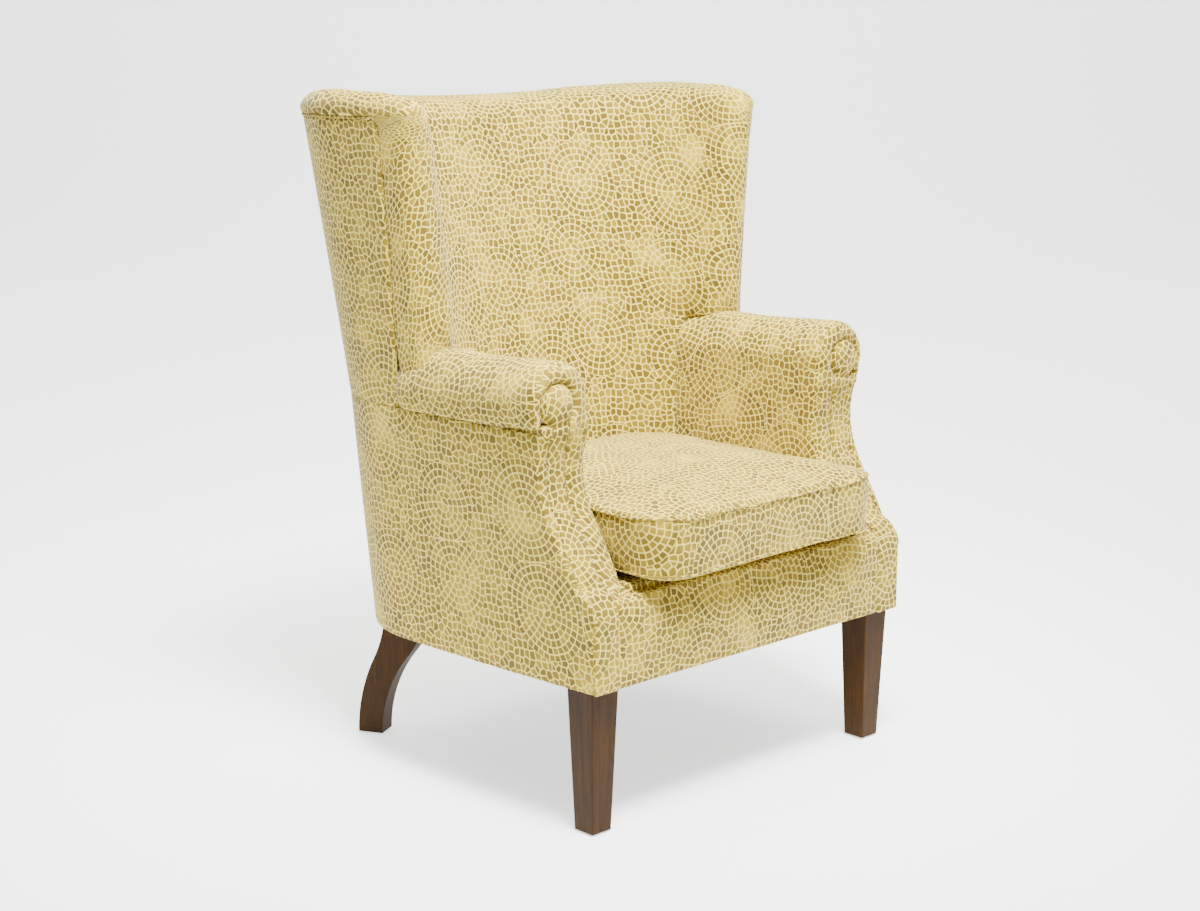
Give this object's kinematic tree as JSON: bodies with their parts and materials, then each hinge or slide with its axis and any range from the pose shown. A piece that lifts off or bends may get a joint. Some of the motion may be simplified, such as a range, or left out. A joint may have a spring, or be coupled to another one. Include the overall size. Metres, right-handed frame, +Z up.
{
  "type": "wing armchair",
  "caption": "Upholstered wing armchair with a curved tub back, scrolled arms, a loose boxed seat cushion, tapered front legs and sabre rear legs.",
  "frame": {"origin": "on the floor, at the bottom centre of the bounding box", "axes": "+Z up, the chair faces -Y, +X towards the right arm as seen from in front"},
  "size_m": [0.7776, 0.7873, 1.0582],
  "materials": {
    "cover_fabric": "matte printed cotton weave, khaki gold with cream lines",
    "leg_walnut": "dark stained satin",
    "frame_beech": "bare planed timber",
    "steel": "zinc plated",
    "nylon": "moulded",
    "webbing": "woven elastic strap",
    "hessian": "coarse plain weave",
    "deck_cloth": "plain lining cloth over wadding",
    "dust_cloth": "thin black lining cloth",
    "foam": "open-cell foam"
  },
  "bodies": {
    "cushion": {"cushion_cover": "cover_fabric", "cushion_core": "foam"},
    "chair": {"arm_facing_left": "cover_fabric", "arm_facing_right": "cover_fabric", "arm_post_left": "frame_beech", "arm_post_right": "frame_beech", "arm_rail_left": "frame_beech", "arm_rail_right": "frame_beech", "back_post_left": "frame_beech", "back_post_right": "frame_beech", "back_rail": "frame_beech", "back_webbing": "webbing", "dust_cover": "dust_cloth", "foot_glides": "nylon", "front_block_left": "frame_beech", "front_block_right": "frame_beech", "front_border": "cover_fabric", "front_leg_left": "leg_walnut", "front_leg_right": "leg_walnut", "front_rail": "frame_beech", "inside_arm_left": "cover_fabric", "inside_arm_right": "cover_fabric", "inside_back": "cover_fabric", "leg_bolts": "steel", "outside_arm_left": "cover_fabric", "outside_arm_right": "cover_fabric", "outside_back": "cover_fabric", "outside_wing_left": "cover_fabric", "outside_wing_right": "cover_fabric", "rear_block_left": "frame_beech", "rear_block_right": "frame_beech", "rear_leg_left": "leg_walnut", "rear_leg_right": "leg_walnut", "seat_deck": "deck_cloth", "seat_hessian": "hessian", "seat_springs": "steel", "side_rail_left": "frame_beech", "side_rail_right": "frame_beech", "spring_clips": "steel", "tack_rail": "frame_beech", "top_rail": "frame_beech", "wing_post_left": "frame_beech", "wing_post_right": "frame_beech", "wing_rail_left": "frame_beech", "wing_rail_right": "frame_beech"}
  },
  "joints": [
    {"name": "cushion_lift", "type": "slide", "parent": "chair", "child": "cushion", "axis": [0, 0, 1], "range_m": [0, 0.35]}
  ]
}
